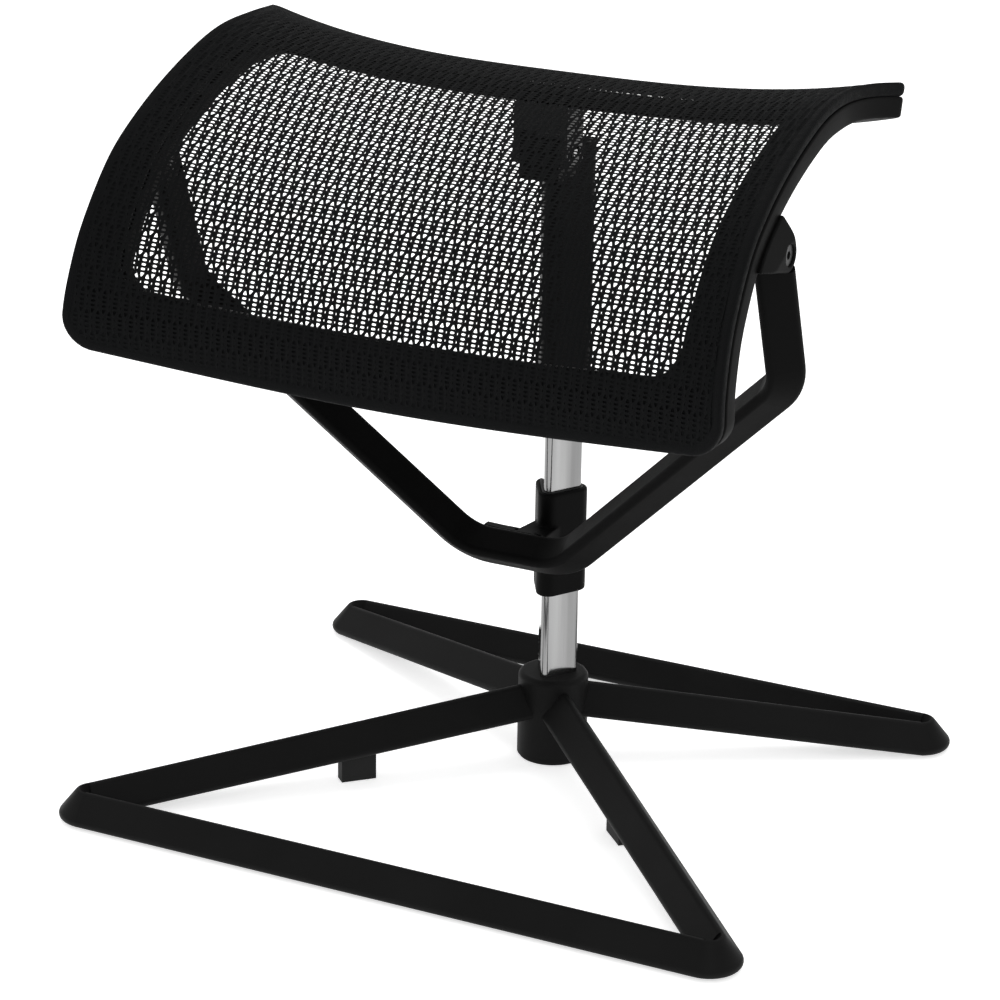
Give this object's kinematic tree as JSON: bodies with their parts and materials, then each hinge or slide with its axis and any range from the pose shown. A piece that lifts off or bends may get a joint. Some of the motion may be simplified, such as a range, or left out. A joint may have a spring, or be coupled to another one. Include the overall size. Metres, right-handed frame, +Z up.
{
  "type": "leg rest",
  "caption": "Mesh leg rest: a curved, tilting mesh panel on a forked arm that slides and locks on an upright post with a looped flat base.",
  "frame": {"origin": "on the floor under the axis of the post", "axes": "+X across the rest, -Y towards the low front edge of the panel, +Z up"},
  "size_m": [0.52, 0.4448, 0.5403],
  "materials": {
    "base_metal": "satin black powder coat",
    "yoke_metal": "satin black powder coat",
    "post_chrome": "polished",
    "plain_steel": "plain",
    "black_steel": "blackened",
    "liner_plastic": "slippery nylon",
    "rubber": "matt",
    "black_plastic": "fine grain",
    "frame_plastic": "fine grain charcoal",
    "carrier_plastic": "covered by the fabric's edge",
    "mesh": "open knitted mesh"
  },
  "bodies": {
    "base": {"front_loop": "base_metal", "rear_loop": "base_metal", "base_hub": "base_metal", "hub_pad": "rubber", "post_tube": "post_chrome", "post_threaded_plug": "plain_steel", "post_washer": "plain_steel", "post_bolt": "plain_steel", "post_top_plug": "liner_plastic", "corner_glides": "rubber", "arm_feet": "rubber"},
    "carriage": {"lower_liner": "liner_plastic", "upper_liner": "liner_plastic", "yoke": "yoke_metal", "slide_sleeve": "black_plastic", "hinge_bushes": "liner_plastic", "lever_pin": "plain_steel", "latch_spring": "plain_steel"},
    "lever": {"lock_lever": "black_plastic"},
    "plunger": {"latch_plunger": "plain_steel"},
    "panel": {"panel_frame": "frame_plastic", "mesh_carrier": "carrier_plastic", "mesh_fabric": "mesh", "frame_screws": "plain_steel", "hinge_lug_left": "frame_plastic", "hinge_lug_right": "frame_plastic", "hinge_screws": "black_steel", "rear_bracket": "black_steel", "bracket_screws": "plain_steel"},
    "tube": {"guide_tube": "black_plastic", "guide_tube_liner": "liner_plastic", "tube_head": "black_plastic", "head_pin": "plain_steel"}
  },
  "joints": [
    {"name": "height_slide", "type": "slide", "parent": "base", "child": "carriage", "axis": [0, 0, 1], "range_m": [-0.05, 0.05]},
    {"name": "panel_tilt", "type": "hinge", "parent": "carriage", "child": "panel", "pos_m": [0, -0.17095, 0.459], "axis": [1, 0, 0], "range_deg": [-12, 12]},
    {"name": "tube_slide", "type": "slide", "parent": "carriage", "child": "tube", "axis": [0, 0, 1], "range_m": [-0.0302, 0.0302]},
    {"name": "lever_turn", "type": "hinge", "parent": "carriage", "child": "lever", "pos_m": [-0.011, -0.044, 0.178], "axis": [0, 0, -1], "range_deg": [0, 8], "stiffness_Nm_per_rad": 0.5, "springref_deg": -5.73},
    {"name": "plunger_slide", "type": "slide", "parent": "carriage", "child": "plunger", "axis": [0, -1, 0], "range_m": [0, 0.0016], "deforming": ["latch_spring"]}
  ],
  "couplings": [
    {"joint": "tube_slide", "follows": "panel_tilt", "m_per_rad": 0.1435},
    {"joint": "plunger_slide", "follows": "lever_turn", "m_per_rad": 0.011}
  ]
}
